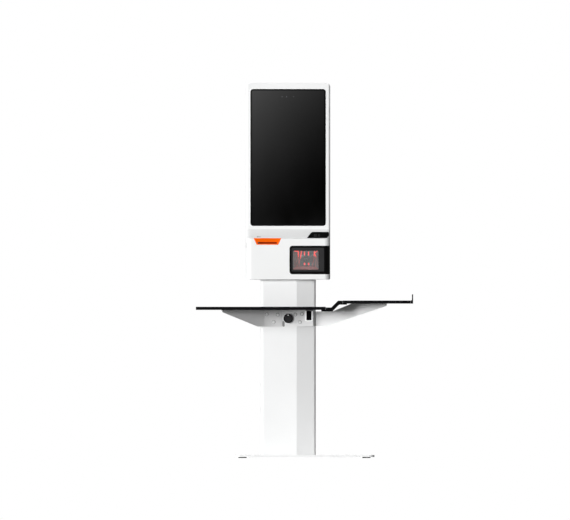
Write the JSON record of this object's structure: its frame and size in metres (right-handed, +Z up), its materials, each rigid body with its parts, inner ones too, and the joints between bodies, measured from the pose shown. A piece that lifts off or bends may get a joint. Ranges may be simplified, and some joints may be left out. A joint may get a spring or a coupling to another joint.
{
  "type": "self-service kiosk",
  "caption": "Floor-standing self-service kiosk with a portrait screen, receipt printer behind a drop-down door, code scanner, low shelf and raised side tray.",
  "frame": {"origin": "on the floor under the middle of the overall box", "axes": "+Z up, -Y to the front where the screen faces, +X to the tray side"},
  "size_m": [0.944, 0.49, 1.6295],
  "materials": {
    "powder_white": "white powder coat, satin",
    "bracket_grey": "white powder coat, satin",
    "shell_white": "moulded, fine satin",
    "foot_rubber": "matt",
    "steel": "zinc plated",
    "board_black": "fine-grained laminate",
    "profile_black": "black anodised",
    "black_plastic": "moulded, satin",
    "black_gloss": "gloss",
    "tape": "foam tape",
    "glass_black": "black-backed glass",
    "panel": "display module",
    "circuit_board": "solder mask",
    "orange_plastic": "moulded, satin gloss",
    "window_glass": "tinted window",
    "chamber_grey": "moulded, satin",
    "lamp_red": "lamp lens",
    "platen_rubber": "ground",
    "gear_plastic": "moulded",
    "brass": "machined",
    "ceramic": "glazed strip",
    "paper": "thermal paper",
    "button_blue": "moulded"
  },
  "bodies": {
    "stand": {"base_plate": "powder_white", "column_shell": "powder_white", "column_rear_cover": "powder_white", "rear_cover_screws": "steel", "column_base_flange": "steel", "base_bolts": "steel", "head_mount_plate": "steel", "head_mount_bolts": "steel", "power_supply": "black_plastic", "power_inlet": "black_plastic", "shelf_bracket_left": "bracket_grey", "shelf_bracket_right": "powder_white", "bracket_screws": "steel", "shelf_board": "board_black", "shelf_step": "profile_black", "tray_board": "board_black", "tray_end_stop": "profile_black", "shelf_screws": "steel", "rocker_frame": "shell_white", "front_frame": "shell_white", "glass_tape": "tape", "cover_glass": "glass_black", "display_panel": "panel", "display_chassis": "steel", "main_board": "circuit_board", "camera_module": "black_plastic", "contactless_pad": "black_gloss", "contactless_antenna": "circuit_board", "rear_shell": "shell_white", "vent_grille": "black_plastic", "shell_screws": "steel", "lower_chassis": "steel", "hinge_pins": "steel", "lock_body": "steel", "printer_frame": "black_plastic", "feed_motor": "steel", "thermal_head": "ceramic", "roll_spindle": "black_plastic"},
    "door": {"service_door": "shell_white", "door_catch": "steel", "paper_outlet": "orange_plastic", "tear_bar": "steel", "scanner_bezel": "black_gloss", "scanner_window": "window_glass", "scanner_chamber": "chamber_grey", "scan_engine": "black_plastic", "scanner_lamps": "lamp_red"},
    "door_lock": {"lock_cylinder": "steel"},
    "paper_roll": {"paper_roll": "paper"},
    "platen": {"platen_roller": "platen_rubber", "platen_gear": "gear_plastic"},
    "pinion": {"motor_pinion": "brass"},
    "feed_button": {"feed_button": "button_blue"},
    "rocker": {"rocker": "black_plastic"},
    "shelf_lock": {"shelf_lock_knob": "black_plastic", "shelf_lock_shaft": "steel"},
    "foot_front_left": {"foot_front_left": "foot_rubber"},
    "foot_front_right": {"foot_front_right": "foot_rubber"},
    "foot_rear_left": {"foot_rear_left": "foot_rubber"},
    "foot_rear_right": {"foot_rear_right": "foot_rubber"}
  },
  "joints": [
    {"name": "door_hinge", "type": "hinge", "parent": "stand", "child": "door", "pos_m": [-0.071, 0.034, 0.784], "axis": [1, 0, 0], "range_deg": [0, 85]},
    {"name": "lock_turn", "type": "hinge", "parent": "stand", "child": "door_lock", "pos_m": [-0.2537, 0.066, 0.925], "axis": [-1, 0, 0], "range_deg": [0, 90]},
    {"name": "roll_spin", "type": "hinge", "parent": "stand", "child": "paper_roll", "pos_m": [-0.161, 0.09, 0.837], "axis": [1, 0, 0], "continuous": true},
    {"name": "platen_spin", "type": "hinge", "parent": "stand", "child": "platen", "pos_m": [-0.161, 0.062, 0.927], "axis": [1, 0, 0], "continuous": true},
    {"name": "pinion_spin", "type": "hinge", "parent": "stand", "child": "pinion", "pos_m": [-0.113, 0.08726, 0.927], "axis": [1, 0, 0], "continuous": true},
    {"name": "feed_press", "type": "slide", "parent": "stand", "child": "feed_button", "axis": [0, 1, 0], "range_m": [0, 0.002], "stiffness_N_per_m": 400},
    {"name": "rocker_tip", "type": "hinge", "parent": "stand", "child": "rocker", "pos_m": [0.0195, 0.046, 0.6195], "axis": [-1, 0, 0], "range_deg": [0, 16]},
    {"name": "shelf_lock_turn", "type": "hinge", "parent": "stand", "child": "shelf_lock", "pos_m": [-0.071, 0.042, 0.6065], "axis": [0, 1, 0], "range_deg": [0, 90]},
    {"name": "foot_front_left_screw", "type": "slide", "parent": "stand", "child": "foot_front_left", "axis": [0, 0, -1], "range_m": [0, 0.004]},
    {"name": "foot_front_right_screw", "type": "slide", "parent": "stand", "child": "foot_front_right", "axis": [0, 0, -1], "range_m": [0, 0.004]},
    {"name": "foot_rear_left_screw", "type": "slide", "parent": "stand", "child": "foot_rear_left", "axis": [0, 0, -1], "range_m": [0, 0.004]},
    {"name": "foot_rear_right_screw", "type": "slide", "parent": "stand", "child": "foot_rear_right", "axis": [0, 0, -1], "range_m": [0, 0.004]}
  ],
  "couplings": [
    {"joint": "platen_spin", "follows": "roll_spin", "ratio": -5},
    {"joint": "pinion_spin", "follows": "roll_spin", "ratio": 9}
  ]
}
